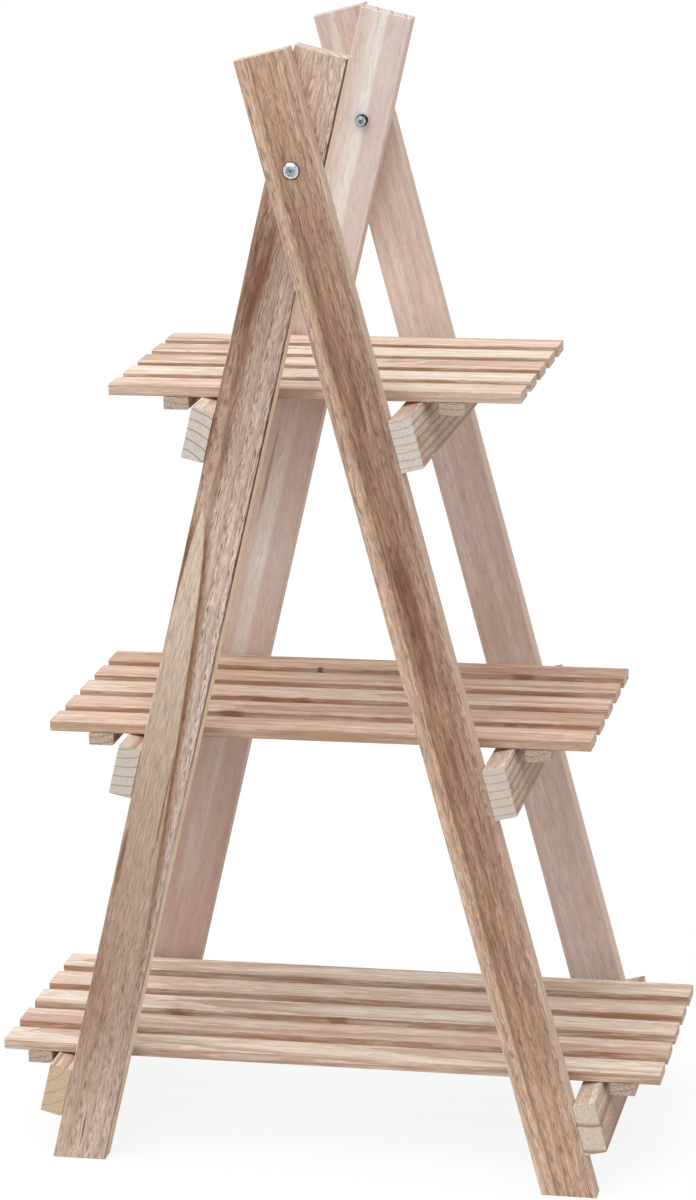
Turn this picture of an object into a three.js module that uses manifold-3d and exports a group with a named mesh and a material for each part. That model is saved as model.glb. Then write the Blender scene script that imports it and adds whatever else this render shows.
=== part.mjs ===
// Folding plant ladder stand: two scissor ladders of flat wooden boards, hinged
// near their tops on two pivot bolts, and three loose slatted shelves that lie
// on the rungs between them.
//
// Millimetres. X runs across the stand, Y from the front to the back, Z up.
// The origin is on the floor, under the middle of the stand.

import * as THREE from 'three';
import { mergeVertices } from 'three/addons/utils/BufferGeometryUtils.js';
import Module from 'manifold-3d';

const wasm = await Module();
wasm.setup();

// ---------------------------------------------------------------- dimensions

const standDepth = 355;
const pivotHeight = 974;
const legLean = THREE.MathUtils.degToRad(14);
const fitGap = 0.3;
const easedEdge = 0.8;

const leg = { width: 51, thickness: 20, topAbovePivot: 107 };
const rail = { thickness: 21.5, height: 50, rearSetBack: 8 };
const slat = { width: 35, thickness: 10.5, spacing: 18.5, count: 5 };
const batten = { width: 24, height: 12 };

// railDrop is measured down the leg, from the pivot to the top of the rail.
// setBack is how far the loose shelf lies behind the front face of the stand,
// and sideShift how far it lies to one side.
const tiers = [
  { name: 'top', railDrop: 241, length: 390, battenInset: 52.5, setBack: 60, sideShift: 1 },
  { name: 'middle', railDrop: 579, length: 522, battenInset: 38, setBack: 54, sideShift: -2 },
  { name: 'bottom', railDrop: 916, length: 646, battenInset: 24, setBack: 52, sideShift: 0 },
];

// M6 x 50 round-head bolt with a square neck, its washer and its nut.
const bolt = {
  diameter: 5.8,
  length: 50,
  endChamfer: 0.6,
  headDiameter: 16.4,
  headHeight: 3.8,
  neck: 6.2,
  neckDepth: 3.6,
};
const washer = { outer: 12, thickness: 1.6 };
const nut = { acrossFlats: 10, height: 5, cornerChamfer: 0.7 };
const threadClearance = 0.25;

// 4 x 40 countersunk wood screw, one through each rail end into the leg's edge.
const screw = {
  diameter: 4,
  length: 40,
  headDiameter: 8,
  headHeight: 2.6,
  headRim: 0.4,
  pointLength: 7,
  sink: 0.4,
};

const roundSides = 24;
const screwSides = 16;

// ------------------------------------------------------------------ materials

const woods = {
  frontLegs: new THREE.MeshStandardMaterial({ color: 0xa68978, roughness: 0.78, metalness: 0 }),
  rearOuterLeg: new THREE.MeshStandardMaterial({ color: 0xb89d90, roughness: 0.78, metalness: 0 }),
  rearInnerLeg: new THREE.MeshStandardMaterial({ color: 0xcdb7a9, roughness: 0.78, metalness: 0 }),
  rails: new THREE.MeshStandardMaterial({ color: 0xd2bfae, roughness: 0.8, metalness: 0 }),
  slats: new THREE.MeshStandardMaterial({ color: 0xd9bfa9, roughness: 0.76, metalness: 0 }),
  battens: new THREE.MeshStandardMaterial({ color: 0xcfb5a2, roughness: 0.8, metalness: 0 }),
};
const zincPlatedSteel = new THREE.MeshStandardMaterial({ color: 0xc3c7ca, roughness: 0.32, metalness: 1 });

// ------------------------------------------------------------- solid geometry

function toSolid(geometry) {
  const bare = geometry.clone();
  bare.deleteAttribute('normal');
  bare.deleteAttribute('uv');
  const merged = mergeVertices(bare);
  return new wasm.Manifold(new wasm.Mesh({
    numProp: 3,
    vertProperties: new Float32Array(merged.attributes.position.array),
    triVerts: new Uint32Array(merged.index.array),
  }));
}

function toGeometry(solid) {
  const mesh = solid.getMesh();
  const geometry = new THREE.BufferGeometry();
  geometry.setAttribute('position', new THREE.BufferAttribute(mesh.vertProperties, 3));
  geometry.setIndex(new THREE.BufferAttribute(mesh.triVerts, 1));
  geometry.computeVertexNormals();
  return geometry;
}

function cut(geometry, tools) {
  let solid = toSolid(geometry);
  for (const tool of tools) {
    solid = solid.subtract(toSolid(tool));
  }
  return toGeometry(solid);
}

function namedMesh(name, geometry, material) {
  const mesh = new THREE.Mesh(geometry, material);
  mesh.name = name;
  return mesh;
}

// A closed profile of [radius, height] points turned about Z.
function turned(profile, sides) {
  const points = profile.map(([radius, height]) => new THREE.Vector2(radius, height));
  return new THREE.LatheGeometry(points, sides).rotateX(Math.PI / 2);
}

// A board's section, with its four long edges planed off a little.
function easedRectangle(width, height) {
  const right = width / 2;
  const top = height / 2;
  return new THREE.Shape([
    new THREE.Vector2(easedEdge - right, -top),
    new THREE.Vector2(right - easedEdge, -top),
    new THREE.Vector2(right, easedEdge - top),
    new THREE.Vector2(right, top - easedEdge),
    new THREE.Vector2(right - easedEdge, top),
    new THREE.Vector2(easedEdge - right, top),
    new THREE.Vector2(-right, top - easedEdge),
    new THREE.Vector2(-right, easedEdge - top),
  ]);
}

// Boards sawn square to length, centred on the origin.
function boardAlongX(length, depth, height) {
  return new THREE.ExtrudeGeometry(easedRectangle(height, depth), { depth: length, bevelEnabled: false })
    .translate(0, 0, -length / 2)
    .rotateY(Math.PI / 2);
}

function boardAlongY(width, length, height) {
  return new THREE.ExtrudeGeometry(easedRectangle(width, height), { depth: length, bevelEnabled: false })
    .translate(0, 0, -length / 2)
    .rotateX(-Math.PI / 2);
}

// -------------------------------------------------------------------- layout

const frontFace = -standDepth / 2;
const backFace = standDepth / 2;

// The front outer leg is the foremost board and the rear outer leg the last
// one. The inner legs lie flat against them, on the shelf side.
const legPlaces = {
  frontOuter: frontFace,
  frontInner: frontFace + leg.thickness + fitGap,
  rearInner: backFace - 2 * leg.thickness - fitGap,
  rearOuter: backFace - leg.thickness,
};

// Each ladder is drawn upright with the pivot at its origin, its rails on the
// side that the ladder leans towards at the foot: side is +1 for the outer
// ladder, whose feet stand to the right, and -1 for the inner one.
const ladders = {
  outer: {
    side: 1,
    legs: { front: legPlaces.frontOuter, rear: legPlaces.rearOuter },
    railFront: frontFace,
    railRear: backFace - rail.rearSetBack,
  },
  inner: {
    side: -1,
    legs: { front: legPlaces.frontInner, rear: legPlaces.rearInner },
    railFront: legPlaces.frontInner,
    railRear: legPlaces.rearInner + leg.thickness,
  },
};

const railInnerFace = leg.width / 2 + fitGap;
const railOuterFace = railInnerFace + rail.thickness;

// Distance down the leg from the pivot to the floor, at a point that lies
// "across" from the leg's middle line on the side that it leans to.
function floorBelowPivot(across) {
  return (pivotHeight + across * Math.sin(legLean)) / Math.cos(legLean);
}

// Height of the rail's outer top edge, where the shelf lies.
function railCornerHeight(tier) {
  const across = railOuterFace - easedEdge;
  return pivotHeight - tier.railDrop * Math.cos(legLean) + across * Math.sin(legLean);
}

// ------------------------------------------------------------------ fasteners

function screwGeometry() {
  const radius = screw.diameter / 2;
  return turned([
    [0, -screw.length],
    [radius, -screw.length + screw.pointLength],
    [radius, -screw.headHeight],
    [screw.headDiameter / 2, -screw.headRim],
    [screw.headDiameter / 2, 0],
    [0, 0],
  ], screwSides);
}

// The room that a screw takes in the boards, a little larger than the screw.
function screwHole() {
  const radius = screw.diameter / 2 + fitGap;
  const headRadius = screw.headDiameter / 2 + fitGap;
  const mouth = screw.sink + 1;
  return turned([
    [0, -screw.length - fitGap],
    [radius, -screw.length + screw.pointLength],
    [radius, -screw.headHeight - fitGap],
    [headRadius, -screw.headRim - fitGap],
    [headRadius, mouth],
    [0, mouth],
  ], screwSides);
}

// Turns a Z-long fastener so that its head looks to the ladder's rail side,
// and puts the head just below the rail's outer face.
function placedScrew(geometry, side, legY, railDrop) {
  return geometry
    .rotateY(side * Math.PI / 2)
    .translate(side * (railOuterFace - screw.sink), legY + leg.thickness / 2, -railDrop - rail.height / 2);
}

// The three pivot pieces lie along Y: the bolt's head starts at Y = 0 with its
// dome towards -Y and its shank along +Y, and the washer and nut lie on +Y.
function pivotBoltGeometry() {
  const headRadius = bolt.headDiameter / 2;
  const domeSteps = 6;
  const sphereRadius = (headRadius ** 2 + bolt.headHeight ** 2) / (2 * bolt.headHeight);
  const domeAngle = Math.asin(headRadius / sphereRadius);
  const radius = bolt.diameter / 2;
  const profile = [
    [0, -bolt.length],
    [radius - bolt.endChamfer, -bolt.length],
    [radius, -bolt.length + bolt.endChamfer],
    [radius, 0],
  ];
  for (let step = 0; step <= domeSteps; step += 1) {
    const angle = domeAngle * (1 - step / domeSteps);
    profile.push([
      sphereRadius * Math.sin(angle),
      bolt.headHeight - sphereRadius * (1 - Math.cos(angle)),
    ]);
  }
  const turnedBody = toSolid(turned(profile, roundSides));
  const neck = new THREE.BoxGeometry(bolt.neck, bolt.neck, bolt.neckDepth + 1);
  neck.translate(0, 0, (1 - bolt.neckDepth) / 2);
  return toGeometry(turnedBody.add(toSolid(neck))).rotateX(Math.PI / 2);
}

// The pivot hole through one leg, with the square pocket that the bolt's neck
// pulls into where the leg is the outer one.
function pivotHole(legY, side) {
  const hole = turned([
    [0, -leg.thickness],
    [bolt.diameter / 2 + fitGap, -leg.thickness],
    [bolt.diameter / 2 + fitGap, leg.thickness],
    [0, leg.thickness],
  ], roundSides);
  const tools = [hole.rotateX(Math.PI / 2).translate(0, legY + leg.thickness / 2, 0)];
  if (side > 0) {
    const pocket = bolt.neck + 2 * fitGap;
    const outerFace = legY < 0 ? legY : legY + leg.thickness;
    const depth = 2 * (bolt.neckDepth + fitGap);
    tools.push(new THREE.BoxGeometry(pocket, depth, pocket).translate(0, outerFace, 0));
  }
  return tools;
}

function washerGeometry() {
  const inner = bolt.diameter / 2 + threadClearance;
  return turned([
    [inner, 0],
    [washer.outer / 2, 0],
    [washer.outer / 2, washer.thickness],
    [inner, washer.thickness],
    [inner, 0],
  ], roundSides).rotateX(-Math.PI / 2);
}

// Hexagon with its corners turned off at both faces, as a lathe leaves it.
function nutGeometry() {
  const cornerRadius = nut.acrossFlats / Math.sqrt(3);
  const hexagon = new THREE.CylinderGeometry(cornerRadius, cornerRadius, nut.height, 6);
  hexagon.rotateX(Math.PI / 2).translate(0, 0, nut.height / 2);
  const faceRadius = cornerRadius - nut.cornerChamfer;
  const clearRadius = cornerRadius + fitGap;
  const blank = turned([
    [0, 0],
    [faceRadius, 0],
    [clearRadius, nut.cornerChamfer],
    [clearRadius, nut.height - nut.cornerChamfer],
    [faceRadius, nut.height],
    [0, nut.height],
  ], roundSides);
  const bore = turned([
    [0, -1],
    [bolt.diameter / 2 + threadClearance, -1],
    [bolt.diameter / 2 + threadClearance, nut.height + 1],
    [0, nut.height + 1],
  ], roundSides);
  const solid = toSolid(hexagon).intersect(toSolid(blank)).subtract(toSolid(bore));
  return toGeometry(solid).rotateX(-Math.PI / 2);
}

// One pivot: the bolt's head on the outer leg's outside, the washer and nut on
// the inner leg's shelf side. The square neck follows the outer leg's lean.
// end is -1 at the front and +1 at the back, where the set is turned round.
function pivotSet(name, end) {
  const set = new THREE.Group();
  const innerFace = 2 * leg.thickness + fitGap;
  const pieces = [
    ['bolt', pivotBoltGeometry(), -fitGap],
    ['washer', washerGeometry(), innerFace + fitGap],
    ['nut', nutGeometry(), innerFace + washer.thickness + 2 * fitGap],
  ];
  for (const [piece, geometry, distance] of pieces) {
    const mesh = namedMesh(`${name}_pivot_${piece}`, geometry, zincPlatedSteel);
    mesh.position.y = distance;
    set.add(mesh);
  }
  set.position.set(0, end * standDepth / 2, pivotHeight);
  set.rotation.set(0, -legLean, end > 0 ? Math.PI : 0);
  return set;
}

// -------------------------------------------------------------------- ladders

// Outline in the ladder's own upright plane: square top, foot cut to the floor.
function legGeometry(side, legY) {
  const half = leg.width / 2;
  const outline = new THREE.Shape([
    new THREE.Vector2(-side * half, leg.topAbovePivot),
    new THREE.Vector2(-side * half, -floorBelowPivot(-half)),
    new THREE.Vector2(side * half, -floorBelowPivot(half)),
    new THREE.Vector2(side * half, leg.topAbovePivot),
  ]);
  const blank = new THREE.ExtrudeGeometry(outline, {
    depth: leg.thickness - 2 * easedEdge,
    bevelSegments: 1,
    bevelThickness: easedEdge,
    bevelSize: easedEdge,
    bevelOffset: -easedEdge,
  })
    .rotateX(Math.PI / 2)
    .translate(0, legY + leg.thickness - easedEdge, 0);
  const screwHoles = tiers.map((tier) => placedScrew(screwHole(), side, legY, tier.railDrop));
  return cut(blank, [...pivotHole(legY, side), ...screwHoles]);
}

function railGeometry(ladder, tier) {
  const length = ladder.railRear - ladder.railFront;
  const blank = boardAlongY(rail.thickness, length, rail.height).translate(
    ladder.side * (railInnerFace + rail.thickness / 2),
    ladder.railFront + length / 2,
    -tier.railDrop - rail.height / 2,
  );
  const holes = Object.values(ladder.legs)
    .map((legY) => placedScrew(screwHole(), ladder.side, legY, tier.railDrop));
  return cut(blank, holes);
}

function ladderGroup(kind, legMaterials) {
  const ladder = ladders[kind];
  const sideName = ladder.side > 0 ? 'right' : 'left';
  const group = new THREE.Group();
  for (const [end, legY] of Object.entries(ladder.legs)) {
    group.add(namedMesh(`${end}_${kind}_leg`, legGeometry(ladder.side, legY), legMaterials[end]));
  }
  for (const tier of tiers) {
    const railName = `${tier.name}_${sideName}_rail`;
    group.add(namedMesh(railName, railGeometry(ladder, tier), woods.rails));
    for (const [end, legY] of Object.entries(ladder.legs)) {
      const geometry = placedScrew(screwGeometry(), ladder.side, legY, tier.railDrop);
      group.add(namedMesh(`${railName}_${end}_screw`, geometry, zincPlatedSteel));
    }
  }
  group.position.z = pivotHeight;
  group.rotation.y = -ladder.side * legLean;
  return group;
}

// -------------------------------------------------------------------- shelves

// Five slats on two battens. The battens hang down just outside the rails, so
// the shelf keeps the ladders from sliding apart.
function shelfGroup(tier) {
  const group = new THREE.Group();
  const pitch = slat.width + slat.spacing;
  const shelfDepth = slat.count * pitch - slat.spacing;
  for (let index = 0; index < slat.count; index += 1) {
    const geometry = boardAlongX(tier.length, slat.width, slat.thickness);
    const mesh = namedMesh(`${tier.name}_shelf_slat_${index + 1}`, geometry, woods.slats);
    mesh.position.set(0, index * pitch + slat.width / 2, slat.thickness / 2);
    group.add(mesh);
  }
  for (const [sideName, side] of [['left', -1], ['right', 1]]) {
    const geometry = boardAlongY(batten.width, shelfDepth, batten.height);
    const mesh = namedMesh(`${tier.name}_shelf_${sideName}_batten`, geometry, woods.battens);
    mesh.position.set(
      side * (tier.length / 2 - tier.battenInset - batten.width / 2),
      shelfDepth / 2,
      -fitGap - batten.height / 2,
    );
    group.add(mesh);
  }
  group.position.set(tier.sideShift, frontFace + tier.setBack, railCornerHeight(tier) + fitGap);
  return group;
}

// --------------------------------------------------------------------- object

const stand = new THREE.Group();
stand.name = 'plant_ladder_stand';
stand.add(ladderGroup('outer', { front: woods.frontLegs, rear: woods.rearOuterLeg }));
stand.add(ladderGroup('inner', { front: woods.frontLegs, rear: woods.rearInnerLeg }));
for (const tier of tiers) {
  stand.add(shelfGroup(tier));
}
stand.add(pivotSet('front', -1));
stand.add(pivotSet('rear', 1));

export default stand;
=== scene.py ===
"""Folding plant ladder stand: its finishes, its small fastenings and the studio. Metres, Z up."""

import math
import random

import bpy
from mathutils import Matrix, Vector


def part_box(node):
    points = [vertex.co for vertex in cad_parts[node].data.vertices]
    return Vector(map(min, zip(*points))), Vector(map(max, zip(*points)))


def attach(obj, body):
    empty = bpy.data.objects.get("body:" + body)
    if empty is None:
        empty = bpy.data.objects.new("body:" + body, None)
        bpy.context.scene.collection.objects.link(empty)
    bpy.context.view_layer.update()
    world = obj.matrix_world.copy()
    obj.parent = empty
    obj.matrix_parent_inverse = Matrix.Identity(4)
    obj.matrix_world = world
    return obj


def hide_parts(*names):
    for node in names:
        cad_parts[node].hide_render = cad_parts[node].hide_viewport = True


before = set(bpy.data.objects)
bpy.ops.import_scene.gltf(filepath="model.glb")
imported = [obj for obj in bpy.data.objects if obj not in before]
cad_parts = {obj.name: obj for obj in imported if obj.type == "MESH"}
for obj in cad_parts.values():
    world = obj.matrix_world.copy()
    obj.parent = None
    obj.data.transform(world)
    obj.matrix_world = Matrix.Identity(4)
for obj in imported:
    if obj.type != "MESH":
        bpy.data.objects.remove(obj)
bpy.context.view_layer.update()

MM = 0.001

# ------------------------------------------------------------ the stand's own sizes, in metres

TIERS = ("top", "middle", "bottom")
HANDS = (("left", -1), ("right", 1))
ENDS = (("front", -1), ("rear", 1))

LEG_LEAN = math.radians(14)
LEG_WIDTH = 0.051
LEG_THICKNESS = 0.020
LEG_GAP = 0.0003  # between an inner leg and the outer leg beside it
LEG_REACH = (-1010, 107)  # from the pivot along a leg to its foot and to its top, in millimetres
PIVOT_HEIGHT = 0.974
OUTER_FACE = 0.1775  # of an outer leg, from the middle of the stand
INNER_FACE = OUTER_FACE - LEG_THICKNESS - LEG_GAP  # of an inner leg, likewise
RAIL_WIDTH = 0.050
RAIL_MIDDLES = {"top": -0.266, "middle": -0.604, "bottom": -0.941}  # along a leg from the pivot
SCREW_HEAD = 0.0469  # from a leg's middle line, just under the outboard face of its rails
BATTEN_WIDTH = 0.024
SLAT_WIDTH = 0.035
SLATS = 5  # on each shelf
NAIL_ALONG = 0.006  # a nail from the middle of its batten and slat, along the slat
NAIL_ACROSS = 0.009  # and across it

# ------------------------------------------------------------ colours and nodes

# The sockets that a Mix node uses for colours.
MIX_A = 6
MIX_B = 7
MIX_RESULT = 2


def linear(colour):
    """An sRGB hex colour as linear RGBA."""
    channels = [int(colour[i : i + 2], 16) / 255 for i in (1, 3, 5)]
    return [c / 12.92 if c <= 0.04045 else ((c + 0.055) / 1.055) ** 2.4 for c in channels] + [1.0]


def add(tree, kind, inputs=None, stops=(), **settings):
    """Adds a node with its settings, fills or links its inputs, and sets a ramp's stops."""
    made = tree.nodes.new("ShaderNode" + kind)
    for name, value in settings.items():
        setattr(made, name, value)
    for key, value in (inputs or {}).items():
        if isinstance(value, bpy.types.NodeSocket):
            tree.links.new(value, made.inputs[key])
        else:
            made.inputs[key].default_value = value
    for index, (position, colour) in enumerate(stops):
        ramp = made.color_ramp.elements
        stop = ramp[index] if index < 2 else ramp.new(position)
        stop.position = position
        stop.color = linear(colour) if isinstance(colour, str) else (colour, colour, colour, 1.0)
    return made


def new_material(name):
    material = bpy.data.materials.new(name)
    material.use_nodes = True
    material.node_tree.nodes.clear()
    return material, material.node_tree


def dress(node, material):
    """Gives a CAD node's object its finish."""
    for material_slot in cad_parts[node].material_slots:
        material_slot.material = material


# ------------------------------------------------------------ wood


class Board:
    """Where a board lies: its middle, the way its grain runs, the way across its face, and its
    width."""

    def __init__(self, origin, along, across, width, reach=(-300, 300)):
        self.origin = Vector(origin)
        self.along = Vector(along).normalized()
        self.across = Vector(across).normalized()
        self.through = self.along.cross(self.across)
        self.turn = Matrix((self.across, self.through, self.along)).transposed().to_euler()
        self.width = width
        self.reach = reach  # of the grain, foot to top or left to right, in millimetres


# What a board shows unless its own look says otherwise. Sizes are in millimetres. Each look also
# gives "bands", the tones across its face, the colours "warm", "late" and "pore" of its heartwood,
# late wood and pores, how strong its "rings", "pores" and "fibres" are, and its "ring_width". It
# may place the rings with "pith", "askew" and "phase", and may add a "flame" or a dark "edge"
# line of painted shade.
PLAIN_LOOK = {
    "swing": 10,  # how far the tree's slow bends carry the grain
    "ripple": 1.6,  # and how far the small ripples do
    "grain": (1.1, 18),  # a fibre's width and length
    "figure_size": (12, 150),  # the width and length of a streak of heartwood
    "heart": [(0.0, 0.4), (1.0, 0.4)],  # how much heartwood, along the board
    "heart_across": [(0.0, 1.0), (1.0, 1.0)],  # and across its face
    "ground": 0.0,  # the share of it that lies between the streaks too
    "mauve": "#b99c92",
    "clouds": 0.3,
    "marks": (),  # each with its place across and along, its half width and length, and a colour
    "side": 0.0,  # how much the narrow sides have of their tint: their own tone with painted light and shade
    "side_least": 1.0,  # and the share of it in their palest places
    "side_tone_and_shading": "#d0a890",
    "end": "#dfd2c4",
    "end_dark": "#b5a08e",
    "end_late": "#857060",
    "end_lines": 0.75,
}


def patches(across, along):
    """The scale of a pattern whose patches have this width and length, in millimetres."""
    return (1 / across, 1 / across, 1 / along)


def bent_grain(tree, here, nudge, look):
    """The board's own space with small ripples in the grain, and then with the tree's slow bends,
    60 mm across and half a metre long, as well."""
    bend_space = add(
        tree, "Mapping", {"Vector": here, "Location": nudge, "Scale": patches(60, 480)}
    ).outputs[0]
    bends = add(tree, "TexNoise", {"Vector": bend_space, "Scale": 1.0, "Detail": 2.0})
    ripple_space = add(
        tree, "Mapping", {"Vector": here, "Location": nudge, "Scale": patches(8, 30)}
    ).outputs[0]
    ripples = add(tree, "TexNoise", {"Vector": ripple_space, "Scale": 1.0, "Detail": 2.0})
    swing = look["swing"]
    ripple = look["ripple"]
    rippled = add(
        tree,
        "VectorMath",
        {0: ripples.outputs["Color"], 1: (ripple, ripple, 0), 2: here},
        operation="MULTIPLY_ADD",
    ).outputs[0]
    bent = add(
        tree,
        "VectorMath",
        {0: bends.outputs["Color"], 1: (swing, swing, 0), 2: rippled},
        operation="MULTIPLY_ADD",
    ).outputs[0]
    sway = (swing + ripple) / 2
    bent = add(
        tree, "VectorMath", {0: bent, 1: (sway, sway, 0)}, operation="SUBTRACT"
    ).outputs[0]
    return rippled, bent


def fibres_and_pores(tree, rippled, nudge, look):
    """Fine fibres and short open pores along the grain. Real ones are 0.3 mm wide; they are drawn
    1 mm wide and more, so that they still show at the size of the picture."""
    thick, length = look["grain"]
    fibre_space = add(
        tree, "Mapping", {"Vector": rippled, "Location": nudge, "Scale": patches(thick, length)}
    ).outputs[0]
    fibre = add(
        tree, "TexNoise", {"Vector": fibre_space, "Scale": 1.0, "Detail": 4.0, "Roughness": 0.7}
    ).outputs[0]
    pore_space = add(
        tree, "Mapping", {"Vector": rippled, "Location": nudge, "Scale": patches(1, length / 1.7)}
    ).outputs[0]
    pore = add(
        tree, "TexNoise", {"Vector": pore_space, "Scale": 1.0, "Detail": 2.0, "Roughness": 0.6}
    ).outputs[0]
    pore = add(
        tree,
        "MapRange",
        {"Value": pore, "From Min": 0.49, "From Max": 0.61},
        interpolation_type="SMOOTHSTEP",
    ).outputs[0]
    return fibre, pore


def growth_rings(tree, bent, chance, look):
    """Growth rings round a pith that lies outside the board and runs a little askew to it, in
    degrees. Each ring rises from its pale early wood to its late wood."""
    pith = look.get("pith", (chance.uniform(-14, 14), -chance.uniform(34, 60)))
    askew = look.get("askew", (chance.uniform(-1.2, 1.2), chance.uniform(-0.6, 0.6)))
    phase = look.get("phase", chance.uniform(0, 6.28))
    ring_space = add(
        tree,
        "Mapping",
        {
            "Vector": bent,
            "Location": (-pith[0], -pith[1], 0),
            "Rotation": (math.radians(askew[0]), math.radians(askew[1]), 0),
        },
    ).outputs[0]
    width_at_scale_1 = math.pi / 10
    return add(
        tree,
        "TexWave",
        {
            "Vector": ring_space,
            "Scale": width_at_scale_1 / look["ring_width"],
            "Phase Offset": phase,
        },
        wave_type="RINGS",
        rings_direction="Z",
        wave_profile="SAW",
    ).outputs["Fac"]


def figure_and_clouds(tree, bent, nudge, look):
    """Broad soft streaks of darker heartwood, and softer mauve clouds between them."""
    figure_space = add(
        tree,
        "Mapping",
        {"Vector": bent, "Location": nudge, "Scale": patches(*look["figure_size"])},
    ).outputs[0]
    figure = add(
        tree, "TexNoise", {"Vector": figure_space, "Scale": 1.0, "Detail": 4.0, "Roughness": 0.68}
    ).outputs[0]
    figure = add(
        tree,
        "MapRange",
        {"Value": figure, "From Min": 0.38, "From Max": 0.64},
        interpolation_type="SMOOTHSTEP",
    ).outputs[0]
    cloud_space = add(
        tree,
        "Mapping",
        {"Vector": bent, "Location": (nudge[1], nudge[2], 0), "Scale": patches(7, 55)},
    ).outputs[0]
    cloud = add(
        tree, "TexNoise", {"Vector": cloud_space, "Scale": 1.0, "Detail": 2.0}
    ).outputs[0]
    cloud = add(
        tree,
        "MapRange",
        {"Value": cloud, "From Min": 0.4, "From Max": 0.66, "To Max": look["clouds"]},
        interpolation_type="SMOOTHSTEP",
    ).outputs[0]
    return figure, cloud


def ground_tones(tree, band_place, length_place, figure, cloud, look):
    """Bands across the board, browner heartwood where the board has it, and the mauve clouds."""
    wood = add(tree, "ValToRGB", {"Fac": band_place}, stops=look["bands"]).outputs[0]
    heart_along = add(tree, "ValToRGB", {"Fac": length_place}, stops=look["heart"]).outputs[0]
    heart_across = add(
        tree, "ValToRGB", {"Fac": band_place}, stops=look["heart_across"]
    ).outputs[0]
    heart = add(
        tree, "Math", {0: heart_along, 1: heart_across}, operation="MULTIPLY"
    ).outputs[0]
    figure_share = add(
        tree, "MapRange", {"Value": figure, "To Min": look["ground"], "To Max": 1.0}
    ).outputs[0]
    heart_share = add(tree, "Math", {0: heart, 1: figure_share}, operation="MULTIPLY").outputs[0]
    wood = add(
        tree,
        "Mix",
        {0: heart_share, MIX_A: wood, MIX_B: linear(look["warm"])},
        data_type="RGBA",
    ).outputs[MIX_RESULT]
    cloud_room = add(
        tree, "Math", {0: heart_share, 1: -0.5, 2: 1.0}, operation="MULTIPLY_ADD"
    ).outputs[0]
    cloud_share = add(tree, "Math", {0: cloud_room, 1: cloud}, operation="MULTIPLY").outputs[0]
    return add(
        tree,
        "Mix",
        {0: cloud_share, MIX_A: wood, MIX_B: linear(look["mauve"])},
        data_type="RGBA",
    ).outputs[MIX_RESULT]


def sapwood_flame(tree, bent_across, bent_along, flame):
    """A pale flame of sapwood that opens towards the foot: how much of it a place has, and how
    much of the dark line along its right side. Both fade again further down."""
    tip_across, tip_along, left, right = flame
    below = add(tree, "Math", {0: tip_along, 1: bent_along}, operation="SUBTRACT").outputs[0]
    below = add(tree, "Math", {0: below, 1: 0.0}, operation="MAXIMUM").outputs[0]
    spread = add(tree, "Math", {0: below}, operation="SQRT").outputs[0]
    aside = add(tree, "Math", {0: bent_across, 1: tip_across}, operation="SUBTRACT").outputs[0]
    from_left = add(
        tree, "Math", {0: spread, 1: left, 2: aside}, operation="MULTIPLY_ADD"
    ).outputs[0]
    right_side = add(tree, "Math", {0: spread, 1: right}, operation="MULTIPLY").outputs[0]
    from_right = add(tree, "Math", {0: right_side, 1: aside}, operation="SUBTRACT").outputs[0]
    inside = add(tree, "Math", {0: from_left, 1: from_right}, operation="MINIMUM").outputs[0]
    inside = add(
        tree,
        "MapRange",
        {"Value": inside, "From Min": 0.2, "From Max": 2.0, "To Max": 0.8},
        interpolation_type="SMOOTHSTEP",
    ).outputs[0]
    inside_fading = add(
        tree, "MapRange", {"Value": below, "From Min": 520, "From Max": 70, "To Min": 0.15}
    ).outputs[0]
    inside = add(tree, "Math", {0: inside, 1: inside_fading}, operation="MULTIPLY").outputs[0]

    beside = add(
        tree, "MapRange", {"Value": from_right, "From Min": -8, "From Max": -1}
    ).outputs[0]
    begun = add(tree, "MapRange", {"Value": below, "From Min": 0, "From Max": 30}).outputs[0]
    beside = add(tree, "Math", {0: beside, 1: begun}, operation="MULTIPLY").outputs[0]
    beside_fading = add(
        tree, "MapRange", {"Value": below, "From Min": 640, "From Max": 300, "To Min": 0.1}
    ).outputs[0]
    beside = add(tree, "Math", {0: beside, 1: beside_fading}, operation="MULTIPLY").outputs[0]
    return inside, beside


def with_marks(tree, wood, rippled, fibre, marks):
    """Pin knots, dark streaks, a drying crack and a patch of painted shadow, each at its own place
    on the board.
    """
    for across, along, half_across, half_along, colour in marks:
        mark_space = add(
            tree,
            "Mapping",
            {
                "Vector": rippled,
                "Location": (-across / half_across, 0, -along / half_along),
                "Scale": (1 / half_across, 0, 1 / half_along),
            },
        ).outputs[0]
        reach = add(tree, "VectorMath", {0: mark_space}, operation="LENGTH").outputs["Value"]
        reach = add(
            tree, "Math", {0: fibre, 1: 1.2, 2: reach}, operation="MULTIPLY_ADD"
        ).outputs[0]
        share = add(
            tree,
            "MapRange",
            {"Value": reach, "From Min": 1.6, "From Max": 1.05, "To Max": 0.85},
            interpolation_type="SMOOTHSTEP",
        ).outputs[0]
        wood = add(
            tree, "Mix", {0: share, MIX_A: wood, MIX_B: linear(colour)}, data_type="RGBA"
        ).outputs[MIX_RESULT]
    return wood


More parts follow.
